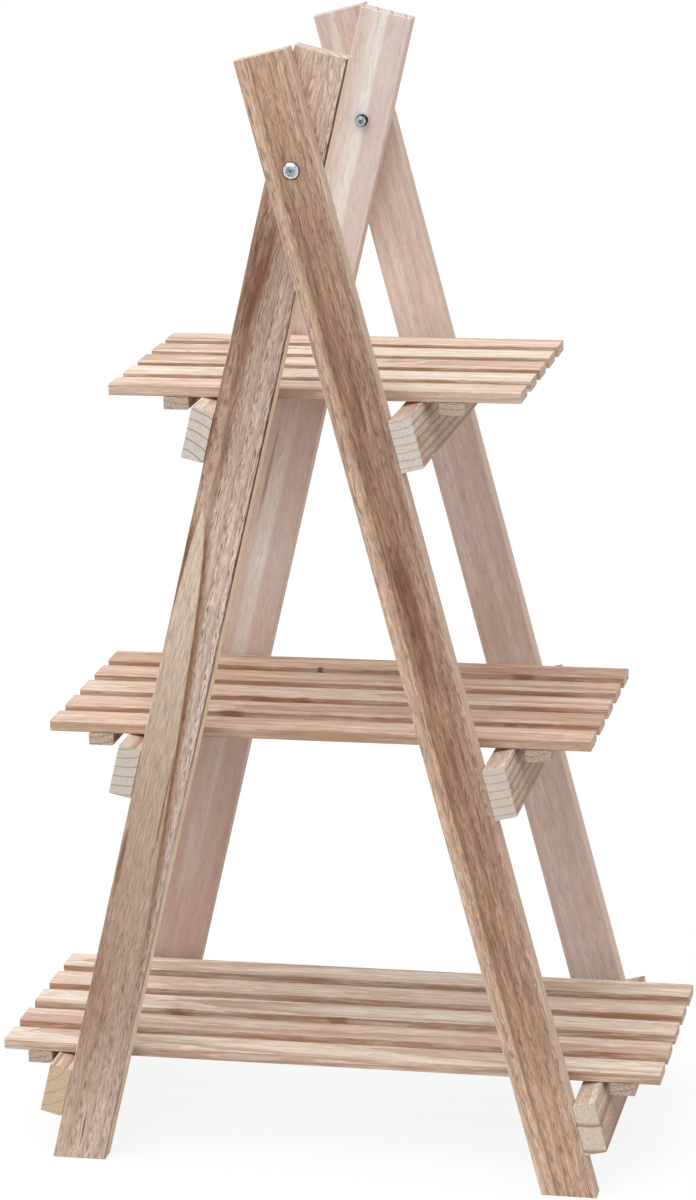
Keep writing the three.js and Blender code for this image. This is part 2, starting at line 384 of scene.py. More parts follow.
def with_painted_edge_shade(tree, wood, board, here, fibre, length_place, side, colour):
    """A dark line of painted shade along one hard edge, ragged with the fibres, fainter towards the
    foot.
    """
    place_across = add(tree, "SeparateXYZ", {0: here}).outputs[0]
    towards = add(tree, "Math", {0: place_across, 1: side}, operation="MULTIPLY").outputs[0]
    ragged_reach = add(
        tree, "Math", {0: fibre, 1: 6.0, 2: towards}, operation="MULTIPLY_ADD"
    ).outputs[0]
    rim = board.width / 2 / MM
    on_edge = add(
        tree,
        "MapRange",
        {"Value": ragged_reach, "From Min": rim + 0.7, "From Max": rim + 1.6, "To Max": 0.95},
    ).outputs[0]
    lasting = add(
        tree,
        "MapRange",
        {"Value": length_place, "From Min": 0.3, "From Max": 0.55, "To Min": 0.5},
    ).outputs[0]
    on_edge = add(tree, "Math", {0: on_edge, 1: lasting}, operation="MULTIPLY").outputs[0]
    return add(
        tree, "Mix", {0: on_edge, MIX_A: wood, MIX_B: linear(colour)}, data_type="RGBA"
    ).outputs[MIX_RESULT]


def facing(tree, normal, direction):
    """How squarely a surface faces along a direction, either way: 0 beside it, 1 square to it."""
    turn = add(
        tree, "VectorMath", {0: normal, 1: direction}, operation="DOT_PRODUCT"
    ).outputs["Value"]
    return add(tree, "Math", {0: turn}, operation="ABSOLUTE").outputs[0]


def with_sides_tinted_and_shaded(tree, wood, side_turn, figure, fibre_light, look):
    """The narrow sides in a tint that mixes their own tone with painted light on the front legs and
    painted shade on the slats, more in some places than in others.
    """
    on_side = add(
        tree,
        "MapRange",
        {"Value": side_turn, "From Min": 0.75, "From Max": 0.95, "To Max": look["side"]},
    ).outputs[0]
    streaked = add(
        tree, "MapRange", {"Value": figure, "To Min": look["side_least"], "To Max": 1.0}
    ).outputs[0]
    on_side = add(tree, "Math", {0: on_side, 1: streaked}, operation="MULTIPLY").outputs[0]
    tint = linear(look["side_tone_and_shading"])[:3]
    shaded_side_wood = add(
        tree, "VectorMath", {0: tint, "Scale": fibre_light}, operation="SCALE"
    ).outputs[0]
    return add(
        tree, "Mix", {0: on_side, MIX_A: wood, MIX_B: shaded_side_wood}, data_type="RGBA"
    ).outputs[MIX_RESULT]


def with_painted_edge_highlights(tree, wood, side_turn, face_turn, cloud):
    """A painted highlight along the planed-off edges, more in some places than in others."""
    slope = add(tree, "Math", {0: side_turn, 1: face_turn}, operation="MULTIPLY").outputs[0]
    edge_highlight = add(tree, "MapRange", {"Value": slope, "From Min": 0.25, "From Max": 0.45}).outputs[0]
    edge_highlight = add(tree, "Math", {0: edge_highlight, 1: cloud}, operation="MULTIPLY").outputs[0]
    edge_highlight = add(tree, "Math", {0: edge_highlight, 1: 1.8}, operation="MULTIPLY").outputs[0]
    return add(
        tree, "Mix", {0: edge_highlight, MIX_A: wood, MIX_B: linear("#f4e6d8")}, data_type="RGBA"
    ).outputs[MIX_RESULT]


def with_sawn_ends(tree, wood, end_turn, ring, here, nudge, look):
    """The sawn ends: pale and grey, in small specks, with the rings as thin brown lines."""
    on_end = add(tree, "MapRange", {"Value": end_turn, "From Min": 0.6, "From Max": 0.9}).outputs[0]
    speck_space = add(
        tree, "Mapping", {"Vector": here, "Location": nudge, "Scale": patches(5 / 3, 20)}
    ).outputs[0]
    speck = add(
        tree, "TexNoise", {"Vector": speck_space, "Scale": 1.0, "Detail": 2.0}
    ).outputs[0]
    pale = add(
        tree, "ValToRGB", {"Fac": speck}, stops=[(0.3, look["end_dark"]), (0.6, look["end"])]
    ).outputs[0]
    line = add(
        tree,
        "MapRange",
        {"Value": ring, "From Min": 0.8, "From Max": 0.97, "To Max": look["end_lines"]},
        interpolation_type="SMOOTHSTEP",
    ).outputs[0]
    end_wood = add(
        tree, "Mix", {0: line, MIX_A: pale, MIX_B: linear(look["end_late"])}, data_type="RGBA"
    ).outputs[MIX_RESULT]
    return add(
        tree, "Mix", {0: on_end, MIX_A: wood, MIX_B: end_wood}, data_type="RGBA"
    ).outputs[MIX_RESULT]


def planed_paulownia(name, board, own_look):
    """Paulownia, planed and left bare: a dull, pale, pinkish wood with brown growth lines and
    short open pores along the grain, and pale grey sawn ends where the rings show as thin lines."""
    look = {**PLAIN_LOOK, **own_look}
    material, tree = new_material(name)
    chance = random.Random(name)
    nudge = [chance.uniform(-50, 50) for _ in range(3)]

    # Millimetres in the board's own axes: X across its face, Y through it, Z along the grain.
    place = add(tree, "TexCoord")
    here = add(
        tree,
        "Mapping",
        {
            "Vector": place.outputs["Object"],
            "Location": board.origin,
            "Rotation": board.turn,
            "Scale": (MM, MM, MM),
        },
        vector_type="TEXTURE",
    ).outputs[0]
    rippled, bent = bent_grain(tree, here, nudge, look)
    bent_across, _, bent_along = add(tree, "SeparateXYZ", {0: bent}).outputs
    # Where a place lies, from 0 to 1: across the face from left to right, and along the grain.
    band_place = add(
        tree,
        "Math",
        {0: bent_across, 1: MM / board.width, 2: 0.5},
        operation="MULTIPLY_ADD",
    ).outputs[0]
    length_place = add(
        tree,
        "MapRange",
        {"Value": bent_along, "From Min": board.reach[0], "From Max": board.reach[1]},
    ).outputs[0]

    fibre, pore = fibres_and_pores(tree, rippled, nudge, look)
    ring = growth_rings(tree, bent, chance, look)
    late_wood = add(
        tree,
        "MapRange",
        {"Value": ring, "From Min": 0.5, "From Max": 0.97},
        interpolation_type="SMOOTHSTEP",
    ).outputs[0]
    early_wood = add(
        tree,
        "MapRange",
        {"Value": ring, "From Min": 0.6, "From Max": 0.02, "To Min": 0.35, "To Max": 1.0},
    ).outputs[0]
    figure, cloud = figure_and_clouds(tree, bent, nudge, look)

    # Colour: the ground, the late wood of each ring, the pores, most of them in the early wood,
    # and the light and dark of the fibres.
    wood = ground_tones(tree, band_place, length_place, figure, cloud, look)
    if "flame" in look:
        in_flame, beside_flame = sapwood_flame(tree, bent_across, bent_along, look["flame"])
        wood = add(
            tree,
            "Mix",
            {0: beside_flame, MIX_A: wood, MIX_B: linear("#94694c")},
            data_type="RGBA",
        ).outputs[MIX_RESULT]
    ring_share = add(
        tree, "Math", {0: late_wood, 1: look["rings"]}, operation="MULTIPLY"
    ).outputs[0]
    wood = add(
        tree, "Mix", {0: ring_share, MIX_A: wood, MIX_B: linear(look["late"])}, data_type="RGBA"
    ).outputs[MIX_RESULT]
    pore_share = add(tree, "Math", {0: pore, 1: early_wood}, operation="MULTIPLY").outputs[0]
    pore_share = add(
        tree, "Math", {0: pore_share, 1: look["pores"]}, operation="MULTIPLY"
    ).outputs[0]
    wood = add(
        tree, "Mix", {0: pore_share, MIX_A: wood, MIX_B: linear(look["pore"])}, data_type="RGBA"
    ).outputs[MIX_RESULT]
    if "flame" in look:
        wood = add(
            tree, "Mix", {0: in_flame, MIX_A: wood, MIX_B: linear("#edd6c2")}, data_type="RGBA"
        ).outputs[MIX_RESULT]
    fibre_light = add(
        tree,
        "MapRange",
        {
            "Value": fibre,
            "From Min": 0.34,
            "From Max": 0.66,
            "To Min": 1 - look["fibres"],
            "To Max": 1 + look["fibres"],
        },
    ).outputs[0]
    wood = add(
        tree, "VectorMath", {0: wood, "Scale": fibre_light}, operation="SCALE"
    ).outputs[0]

    # What lies on single places of the board, then its dark edge line of painted shade, its sides
    # with their tint of painted light and shade, the painted highlights along its edges, and its
    # ends.
    normal = place.outputs["Normal"]
    side_turn = facing(tree, normal, board.across)
    face_turn = facing(tree, normal, board.through)
    end_turn = facing(tree, normal, board.along)
    wood = with_marks(tree, wood, rippled, fibre, look["marks"])
    if "edge" in look:
        wood = with_painted_edge_shade(tree, wood, board, here, fibre, length_place, *look["edge"])
    wood = with_sides_tinted_and_shaded(tree, wood, side_turn, figure, fibre_light, look)
    wood = with_painted_edge_highlights(tree, wood, side_turn, face_turn, cloud)
    wood = with_sawn_ends(tree, wood, end_turn, ring, here, nudge, look)

    # Bare wood is dull; the fibres are a little uneven, and the pores are open.
    roughness = add(
        tree, "MapRange", {"Value": fibre, "To Min": 0.58, "To Max": 0.78}
    ).outputs[0]
    relief = add(tree, "Math", {0: fibre, 1: pore_share}, operation="SUBTRACT").outputs[0]
    bump = add(tree, "Bump", {"Height": relief, "Strength": 0.5, "Distance": 0.0003}).outputs[0]
    surface = add(
        tree,
        "BsdfPrincipled",
        {"Base Color": wood, "Roughness": roughness, "Normal": bump, "IOR": 1.53},
    )
    add(tree, "OutputMaterial", {"Surface": surface.outputs[0]})
    return material


def leg_board(side, y_front):
    """side is 1 for the outer ladder, whose feet stand to the right, and -1 for the inner one."""
    return Board(
        (0, y_front + LEG_THICKNESS / 2, PIVOT_HEIGHT),
        (-side * math.sin(LEG_LEAN), 0, math.cos(LEG_LEAN)),
        (math.cos(LEG_LEAN), 0, side * math.sin(LEG_LEAN)),
        LEG_WIDTH,
        LEG_REACH,
    )


# The two front legs show brown heartwood, the two rear ones are pale and pink.
LEGS = {
    "front_outer_leg": (
        leg_board(1, -OUTER_FACE),
        {
            "bands": [
                (0.0, "#e8c9b0"),
                (0.27, "#e3c0a5"),
                (0.31, "#b58a6d"),
                (0.35, "#dcb79a"),
                (0.7, "#dab59a"),
                (1.0, "#e1c1a9"),
            ],
            "warm": "#6e3f25",
            "late": "#764529",
            "pore": "#5c2c10",
            "mauve": "#b8937f",
            "clouds": 0.35,
            "heart": [
                (0.0, 0.0),
                (0.08, 0.1),
                (0.17, 0.7),
                (0.3, 0.75),
                (0.6, 1.0),
                (0.85, 0.85),
                (1.0, 0.0),
            ],
            "heart_across": [(0.0, 0.1), (0.24, 0.2), (0.34, 1.0), (0.75, 0.85), (1.0, 0.5)],
            "ground": 0.5,
            "rings": 0.3,
            "ring_width": 7,
            "pith": (-70, -60),
            "askew": (0.5, 0.35),
            "pores": 0.68,
            "fibres": 0.28,
            # Its pale right side is painted light.
            "side": 0.7,
            "side_tone_and_shading": "#dcbfa8",
        },
    ),
    "front_inner_leg": (
        leg_board(-1, -INNER_FACE),
        {
            "bands": [(0.0, "#eacab3"), (0.5, "#eed4c1"), (1.0, "#edd6ca")],
            "warm": "#76462a",
            "late": "#8a5c3c",
            "pore": "#64351a",
            "mauve": "#cfae9c",
            "clouds": 0.4,
            "heart": [
                (0.0, 0.0),
                (0.06, 0.35),
                (0.17, 0.95),
                (0.3, 0.5),
                (0.56, 0.1),
                (0.66, 0.9),
                (0.84, 1.0),
                (0.93, 0.0),
            ],
            "heart_across": [(0.0, 1.0), (0.35, 1.0), (0.58, 0.5), (1.0, 0.3)],
            "ground": 0.55,
            "rings": 0.35,
            "ring_width": 9,
            "pith": (-60, -76),
            "askew": (0.4, 0.2),
            "swing": 4,
            # Its tip across and along the leg, and how fast its left and right sides open.
            "flame": (-17.3, -334, 0.77, 1.66),
            # A dark line of painted shade along its right front edge.
            "edge": (1, "#572f1a"),  # 1 is the right edge, -1 the left one
            "marks": [
                (-1.2, -972, 1.0, 24, "#6b4a3a"),
                (-21, -690, 2.6, 46, "#8b6247"),
                (8, -620, 1.4, 80, "#94694c"),
            ],
            "pores": 0.78,
            "fibres": 0.31,
            # Its pale peach right side is painted light on a side that the lamps leave in shade.
            "side": 1.0,
            "side_tone_and_shading": "#fbdcbf",
        },
    ),
    "rear_inner_leg": (
        leg_board(-1, INNER_FACE - LEG_THICKNESS),
        {
            "bands": [
                (0.0, "#ebd7cc"),
                (0.22, "#eddcd2"),
                (0.3, "#faf2ec"),
                (0.5, "#fbf5f0"),
                (0.56, "#ebdad2"),
                (1.0, "#ebd9d1"),
            ],
            "warm": "#c4a091",
            "late": "#c2a08f",
            "pore": "#a9816c",
            "mauve": "#d6bab0",
            "clouds": 0.15,
            # Its heartwood is strongest at the foot and around the top shelf; there it is partly
            # painted shade from the shelves.
            "heart": [(0.0, 1.0), (0.2, 0.85), (0.38, 0.5), (0.5, 0.1), (0.68, 0.9), (0.8, 0.0)],
            "ground": 0.75,
            "rings": 0.12,
            "ring_width": 14,
            "pith": (-120, -40),
            "askew": (0.2, 0.1),
            "swing": 7,
            "pores": 0.3,
            "fibres": 0.05,
            "marks": [(-14, -368, 2.4, 60, "#b48f84")],
            "side": 0.5,
            "side_tone_and_shading": "#d9b9a2",
        },
    ),
    "rear_outer_leg": (
        leg_board(1, OUTER_FACE - LEG_THICKNESS),
        {
            "bands": [(0.0, "#edd8cc"), (0.3, "#f2e1d7"), (0.6, "#e9d3c9"), (1.0, "#ecd8ce")],
            "warm": "#d0b0a1",
            "late": "#c09e8e",
            "pore": "#a07c6a",
            "mauve": "#d0b4aa",
            "heart": [(0.0, 0.0), (0.25, 0.25), (0.42, 0.7), (0.7, 0.2), (0.9, 0.5), (1.0, 0.7)],
            "rings": 0.2,
            "ring_width": 10,
            "pith": (130, -70),
            "askew": (0.2, 0.15),
            "swing": 6,
            "pores": 0.35,
            "fibres": 0.07,
            "side": 0.5,
            "side_tone_and_shading": "#d9b9a2",
        },
    ),
}
for leg, (board, look) in LEGS.items():
    dress(leg, planed_paulownia(leg + "_paulownia", board, look))


def middle(node):
    low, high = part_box(node)
    return (low + high) / 2


RAIL_LOOK = {
    "bands": [(0.0, "#cdb09d"), (0.5, "#d9bfad"), (1.0, "#ecd9c9")],
    "warm": "#a98269",
    "late": "#8f6850",
    "pore": "#83604a",
    "heart": [(0.0, 0.6), (0.5, 0.5), (1.0, 0.6)],
    "rings": 0.7,
    "askew": (0.6, 0.4),
    "swing": 5,
    "pores": 0.5,
    "fibres": 0.1,
    "ripple": 0.6,
    "end": "#e2d7cc",
    "end_dark": "#d0c3b7",
}
# Each rail's pith, in millimetres up and to the right of the middle of its section, and its ring
# width: they set how the growth rings slope across the sawn end. The lowest two ends are yellower.
RAIL_ENDS = {
    "top_left_rail": {"pith": (-67, -18), "ring_width": 9.5},
    "middle_left_rail": {"pith": (88, -20), "ring_width": 9, "end_lines": 0.6, "end": "#ddcfc1"},
    "bottom_left_rail": {
        "pith": (34, -26),
        "ring_width": 11,
        "end": "#dec4a4",
        "end_dark": "#caac8b",
        "end_late": "#a98a68",
        "end_lines": 0.45,
    },
    "top_right_rail": {"pith": (70, 0), "ring_width": 7.5, "end_lines": 0.5},
    "middle_right_rail": {"pith": (72, 2), "ring_width": 8, "end_lines": 0.5, "end": "#ddccbc"},
    "bottom_right_rail": {
        "pith": (75, 20),
        "ring_width": 26,
        "phase": 0.24,
        "end": "#e2d2c1",
        "end_dark": "#c9b6a3",
        "end_late": "#9c7b50",
        "end_lines": 0.85,
    },
}
BATTEN_LOOK = {
    "bands": [(0.0, "#d3b7a5"), (0.5, "#dfc7b6"), (1.0, "#d6bba9")],
    "warm": "#b79078",
    "late": "#a07860",
    "pore": "#8f6a54",
    "rings": 0.5,
    "ring_width": 6,
    "pores": 0.5,
    "fibres": 0.1,
    "end": "#d3bfae",
    "end_dark": "#ab937f",
}
for tier in TIERS:
    for hand, side in HANDS:
        rail = f"{tier}_{hand}_rail"
        up_the_leg = (-side * math.sin(LEG_LEAN), 0, math.cos(LEG_LEAN))
        board = Board(middle(rail), (0, 1, 0), up_the_leg, RAIL_WIDTH)
        look = {**RAIL_LOOK, **RAIL_ENDS[rail]}
        dress(rail, planed_paulownia(rail + "_paulownia", board, look))

        batten = f"{tier}_shelf_{hand}_batten"
        board = Board(middle(batten), (0, 1, 0), (1, 0, 0), BATTEN_WIDTH)
        dress(batten, planed_paulownia(batten + "_paulownia", board, BATTEN_LOOK))

SLAT_LOOK = {
    "grain": (1.5, 28),
    "late": "#9a6a4e",
    "pore": "#8b5e43",
    "heart": [(0.0, 0.3), (0.3, 0.6), (0.6, 0.4), (1.0, 0.6)],
    "figure_size": (6, 80),
    "end": "#dbc5b3",
    "end_dark": "#bfa18f",
    "end_late": "#8f6c57",
    "mauve": "#cdae9e",
    "clouds": 0.2,
    "rings": 0.5,
    "ring_width": 7,
    "ripple": 2.2,
    "pores": 0.4,
    "fibres": 0.13,
    # The brown tint of the slats' front and back faces, streaked with the figure, is painted shade
    # in the gaps between them.
    "side": 0.7,
    "side_least": 0.2,
    "side_tone_and_shading": "#b07b5b",
}
# The slats come from different planks, so each has its own tone: cream, pink, tan or brown.
SLAT_TONES = {
    "cream": {"bands": [(0.0, "#ecdbc9"), (0.5, "#f4e7d8"), (1.0, "#efdfce")], "warm": "#c29a7c"},
    "pink": {"bands": [(0.0, "#e9d0bd"), (0.5, "#efdbca"), (1.0, "#e9d2bf")], "warm": "#b5876a"},
    "tan": {"bands": [(0.0, "#e0c4ad"), (0.5, "#e8d0bb"), (1.0, "#e1c6b0")], "warm": "#a3765a"},
    "brown": {"bands": [(0.0, "#d5b49b"), (0.5, "#dec0a9"), (1.0, "#d7b79f")], "warm": "#94664c"},
}
SLAT_ORDER = {
    "top": ("pink", "cream", "pink", "cream", "pink"),
    "middle": ("tan", "tan", "pink", "tan", "brown"),
    "bottom": ("cream", "pink", "cream", "pink", "cream"),
}
# The front edge of each foremost slat has a tint of its own, darker on the lower shelves: partly
# the wood's tone, partly painted shade.
SLAT_FRONT_TONES_AND_SHADE = {"top": "#ddc4ae", "middle": "#c49f84", "bottom": "#b38566"}
# Their pin knot and dark streaks sit on the front edges, in millimetres from each slat's middle.
SLAT_MARKS = {
    # The top front slat's brown patch, between the front legs, is partly painted shadow of the
    # legs.
    "top_shelf_slat_1": [(-17.5, -20, 3.2, 34, "#b18a62")],
    "middle_shelf_slat_5": [(-17.0, -43, 2.6, 4.5, "#4c2817"), (-17.5, 160, 2.5, 18, "#8a5c48")],
    "middle_shelf_slat_1": [(-17.5, 12, 3.6, 95, "#a9826a")],
    "middle_shelf_slat_3": [(-17.5, -67, 1.8, 60, "#754934"), (-17.5, -40, 2.6, 18, "#66402d")],
    "middle_shelf_slat_2": [(-17.5, -95, 2.5, 18, "#7a4c36"), (-17.5, 175, 2.0, 14, "#7a4c36")],
    "bottom_shelf_slat_3": [(-17.5, -175, 2.4, 22, "#8a5d45"), (-17.5, -12, 2.4, 16, "#8f6048")],
}
for tier in TIERS:
    for number, tone in enumerate(SLAT_ORDER[tier], 1):
        slat = f"{tier}_shelf_slat_{number}"
        board = Board(middle(slat), (1, 0, 0), (0, 1, 0), SLAT_WIDTH)
        look = {**SLAT_LOOK, **SLAT_TONES[tone], "marks": SLAT_MARKS.get(slat, ())}
        if number == 1:
            look["side"] = 0.6
            look["side_tone_and_shading"] = SLAT_FRONT_TONES_AND_SHADE[tier]
        dress(slat, planed_paulownia(slat + "_paulownia", board, look))


# ------------------------------------------------------------ metal


def zinc_plated_steel(name, tones, roughness, least=0.75):
    """Steel, turned or pressed, zinc plated: a satin metal with a fine crystal grain. The tones run
    outwards from the pivots' axis, over 10 mm, and stay at the last one beyond; on the bolt, washer
    and nut they hold painted reflections and painted shade. "least" is the lightness of the darkest
    crystals."""
    material, tree = new_material(name)
    here = add(
        tree,
        "Mapping",
        {
            "Vector": add(tree, "TexCoord").outputs["Object"],
            "Location": (0, 0, PIVOT_HEIGHT),
            "Scale": (MM, MM, MM),
        },
        vector_type="TEXTURE",
    ).outputs[0]
    flat = add(tree, "VectorMath", {0: here, 1: (1, 0, 1)}, operation="MULTIPLY").outputs[0]
    radius = add(tree, "VectorMath", {0: flat}, operation="LENGTH").outputs["Value"]
    share = add(tree, "MapRange", {"Value": radius, "From Max": 10.0}).outputs[0]
    metal = add(tree, "ValToRGB", {"Fac": share}, stops=tones).outputs[0]
    # The crystal grain is really 0.1 mm; it is drawn 2 mm wide so that it shows.
    grain = add(tree, "TexNoise", {"Vector": here, "Scale": 0.55, "Detail": 3.0}).outputs[0]
    grain_light = add(
        tree,
        "MapRange",
        {"Value": grain, "From Min": 0.38, "From Max": 0.62, "To Min": least, "To Max": 1.12},
    ).outputs[0]
    metal = add(tree, "VectorMath", {0: metal, "Scale": grain_light}, operation="SCALE").outputs[0]
    gloss = add(
        tree,
        "MapRange",
        {"Value": grain, "To Min": roughness - 0.1, "To Max": roughness + 0.1},
    ).outputs[0]
    bump = add(tree, "Bump", {"Height": grain, "Strength": 0.2, "Distance": 0.0001}).outputs[0]
    surface = add(
        tree,
        "BsdfPrincipled",
        {"Base Color": metal, "Metallic": 1.0, "Roughness": gloss, "Normal": bump},
    )
    add(tree, "OutputMaterial", {"Surface": surface.outputs[0]})
    return material


# The bolt head's tones are painted: a blue-grey crown and a bright ring of painted reflection and
# highlight, and a dark rim of painted shade where the head meets the leg. Its darkest crystals, at
# 0.5, stand in for mottled reflections too.
bolt_zinc = zinc_plated_steel(
    "zinc_bolt_steel_painted_reflections_and_shade",
    [
        (0.0, "#566c76"),
        (0.16, "#7f929b"),
        (0.23, "#b3bdc1"),
        (0.36, "#a5b0b5"),
        (0.48, "#cdd2d4"),
        (0.58, "#f2f3f3"),
        (0.68, "#f4f4f2"),
        (0.74, "#837a73"),
        (0.8, "#544a43"),
    ],
    0.3,
    0.5,
)
# The washer's near-black tone is painted shade between the nut and the leg.
washer_zinc = zinc_plated_steel(
    "zinc_washer_steel_painted_shade", [(0.0, "#3c4043"), (1.0, "#4a4d50")], 0.42
)
# The nut is pale at its face and dark towards its flats and corners: that dark band is painted
# shade.
nut_zinc = zinc_plated_steel(
    "zinc_nut_steel_painted_shade",
    [(0.0, "#f2f3f3"), (0.41, "#f4f5f5"), (0.48, "#6b6f72"), (0.56, "#45494c")],
    0.3,
)
screw_zinc = zinc_plated_steel(
    "yellow_passivated_zinc_screw_steel", [(0.0, "#9b8361"), (1.0, "#a18863")], 0.45
)
nail_zinc = zinc_plated_steel(
    "dull_zinc_plated_nail_steel", [(0.0, "#8f9396"), (1.0, "#9a9ea1")], 0.45
)

for end, _ in ENDS:
    dress(f"{end}_pivot_bolt", bolt_zinc)
    dress(f"{end}_pivot_washer", washer_zinc)
    dress(f"{end}_pivot_nut", nut_zinc)
    for tier in TIERS:
        for hand, _ in HANDS:
            dress(f"{tier}_{hand}_rail_{end}_screw", screw_zinc)

# ------------------------------------------------------------ fastenings


def pick(*pieces):
    """Selects these pieces and nothing else, and makes the first of them the active one."""
    bpy.ops.object.select_all(action="DESELECT")
    for piece in pieces:
        piece.select_set(True)
    if pieces:
        bpy.context.view_layer.objects.active = pieces[0]


def drop(piece):
    pick(piece)
    bpy.ops.object.delete()


def joined(*solids):
    pick(*solids)
    bpy.ops.object.join()
    return solids[0]


def face_outwards():
    """Turns all faces of the piece that is being edited outwards, and leaves edit mode."""
    bpy.ops.mesh.select_all(action="SELECT")
    bpy.ops.mesh.normals_make_consistent(inside=False)
    bpy.ops.object.mode_set(mode="OBJECT")


def turned(profile, sides):
    """A closed turned solid about Z, drawn out ring by ring; (radius, height) in millimetres."""
    (radius, height), *rings = profile
    pick()
    bpy.ops.mesh.primitive_circle_add(vertices=sides, radius=radius * MM, fill_type="NGON")
    solid = bpy.context.object
    bpy.ops.object.mode_set(mode="EDIT")
    bpy.ops.transform.translate(value=(0, 0, height * MM))
    for next_radius, next_height in rings:
        rise = (next_height - height) * MM
        grow = next_radius / radius
        bpy.ops.mesh.extrude_region_move(TRANSFORM_OT_translate={"value": (0, 0, rise)})
        bpy.ops.transform.resize(value=(grow, grow, 1), center_override=(0, 0, next_height * MM))
        radius, height = next_radius, next_height
    face_outwards()
    return solid


def thread(root, crest, start, pitch, turns, steps):
    """A screw thread about Z: three points, root, crest and root, drawn round as a helix."""
    bpy.context.tool_settings.mesh_select_mode = (True, False, False)
    pick()
    bpy.ops.mesh.primitive_plane_add(size=MM)
    helix = bpy.context.object
    bpy.ops.object.mode_set(mode="EDIT")
    bpy.ops.mesh.merge(type="CENTER")
    bpy.ops.transform.translate(value=(root * MM, 0, start * MM))
    for step in (crest - root, root - crest):
        bpy.ops.mesh.extrude_region_move(
            TRANSFORM_OT_translate={"value": (step * MM, 0, pitch / 2 * MM)}
        )
    bpy.ops.object.mode_set(mode="OBJECT")
    screw = helix.modifiers.new("thread", "SCREW")
    screw.screw_offset = pitch * MM
    screw.iterations = turns
    screw.steps = steps
    screw.render_steps = steps
    bpy.ops.object.modifier_apply(modifier=screw.name)
    bpy.ops.object.mode_set(mode="EDIT")
    bpy.ops.mesh.select_all(action="SELECT")
    bpy.ops.mesh.remove_doubles(threshold=0.01 * MM)
    bpy.ops.mesh.fill_holes(sides=0)
    face_outwards()
    return helix


def square_bar(width, low, high):
    """A square bar along Z with softened edges, in millimetres."""
    pick()
    bpy.ops.mesh.primitive_cube_add(size=MM, location=(0, 0, 0))
    bar = bpy.context.object
    bpy.ops.object.mode_set(mode="EDIT")
    bpy.ops.transform.resize(value=(width, width, high - low))
    bpy.ops.transform.translate(value=(0, 0, (high + low) / 2 * MM))
    bpy.ops.mesh.bevel(offset=0.3 * MM, segments=2, affect="EDGES")
    bpy.ops.object.mode_set(mode="OBJECT")
    return bar


def combine(solid, tool, operation):
    """Cuts the tool out of a solid, or keeps what both share, and removes the tool."""
    change = solid.modifiers.new("combine", "BOOLEAN")
    change.operation = operation
    change.solver = "EXACT"
    change.object = tool
    pick(solid)
    bpy.ops.object.modifier_apply(modifier=change.name)
    drop(tool)


def plate(solid, material):
    """Rounds off the shading of a finished solid and gives it its plating."""
    pick(solid)
    bpy.ops.object.shade_smooth_by_angle(angle=math.radians(32))
    solid.data.materials.clear()
    solid.data.materials.append(material)


def fit(pattern, name, place, body, node=None):
    """Puts a copy of the pattern, with its own mesh, in its place on a body."""
    pick(pattern)
    bpy.ops.object.duplicate()
    piece = bpy.context.object
    piece.name = name
    piece.data.name = name
    piece.matrix_world = place
    bpy.ops.object.transform_apply(location=True, rotation=True, scale=True)
    if node:
        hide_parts(node)
    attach(piece, body)


# Round-head bolt, M6 x 50: domed head with a thin rim, square neck, plain shank, then the thread.
bolt_body = turned(
    [
        (0.7, -3.8),
        (2.6, -3.55),
        (4.6, -2.95),
        (6.2, -2.15),
        (7.3, -1.3),
        (7.95, -0.7),
        (8.2, -0.35),
        (8.15, -0.1),
        (7.95, 0.0),
        (2.9, 0.0),
        (2.9, 24.0),
        (2.42, 24.6),
        (2.42, 49.4),
        (1.9, 50.0),
    ],
    48,
)
bolt_neck = square_bar(6.2, -0.4, 3.6)
bolt_thread = thread(root=2.4, crest=2.9, start=24.4, pitch=1.0, turns=24, steps=32)
bolt = joined(bolt_body, bolt_neck, bolt_thread)
plate(bolt, bolt_zinc)

# Washer: a disc, inset on both faces, the middles taken out and the two edges bridged.
washer = turned([(5.75, 0.0), (6.0, 0.25), (6.0, 1.35), (5.75, 1.6)], 48)
bpy.ops.object.mode_set(mode="EDIT")
bpy.context.tool_settings.mesh_select_mode = (False, False, True)
bpy.ops.mesh.select_all(action="DESELECT")
bpy.ops.object.mode_set(mode="OBJECT")
for face in washer.data.polygons:
    face.select = len(face.vertices) > 4
bpy.ops.object.mode_set(mode="EDIT")
bpy.ops.mesh.inset(thickness=2.55 * MM, use_individual=True)
bpy.ops.mesh.delete(type="ONLY_FACE")
bpy.context.tool_settings.mesh_select_mode = (False, True, False)
bpy.ops.mesh.select_all(action="DESELECT")
bpy.ops.mesh.select_non_manifold()
bpy.ops.mesh.bridge_edge_loops()
face_outwards()
plate(washer, washer_zinc)

# Nut: a hexagon with its corners turned off at both faces, and a bore with a small countersink.
nut = turned([(5.7735, 0.0), (5.7735, 5.0)], 6)
combine(nut, turned([(5.07, 0.0), (6.05, 0.7), (6.05, 4.3), (5.07, 5.0)], 64), "INTERSECT")
combine(nut, turned([(3.6, -0.2), (3.1, 0.5), (3.1, 4.5), (3.6, 5.2)], 32), "DIFFERENCE")
plate(nut, nut_zinc)

# Each pivot's pieces, and where they start, in millimetres inwards from the outer leg's face.
PIVOT_PIECES = (("bolt", bolt, -0.3), ("washer", washer, 40.6), ("nut", nut, 42.5))
lean = Matrix.Rotation(-LEG_LEAN, 4, "Y")
for end, direction in ENDS:
    outer_face = Matrix.Translation((0, direction * OUTER_FACE, PIVOT_HEIGHT))
    inwards = Matrix.Rotation(math.radians(90 * direction), 4, "X")
    for kind, pattern, distance in PIVOT_PIECES:
        node = f"{end}_pivot_{kind}"
        place = outer_face @ lean @ inwards @ Matrix.Translation((0, 0, distance * MM))
        fit(pattern, node + "_detail", place, "outer_ladder", node)
for _, pattern, _ in PIVOT_PIECES:
    drop(pattern)

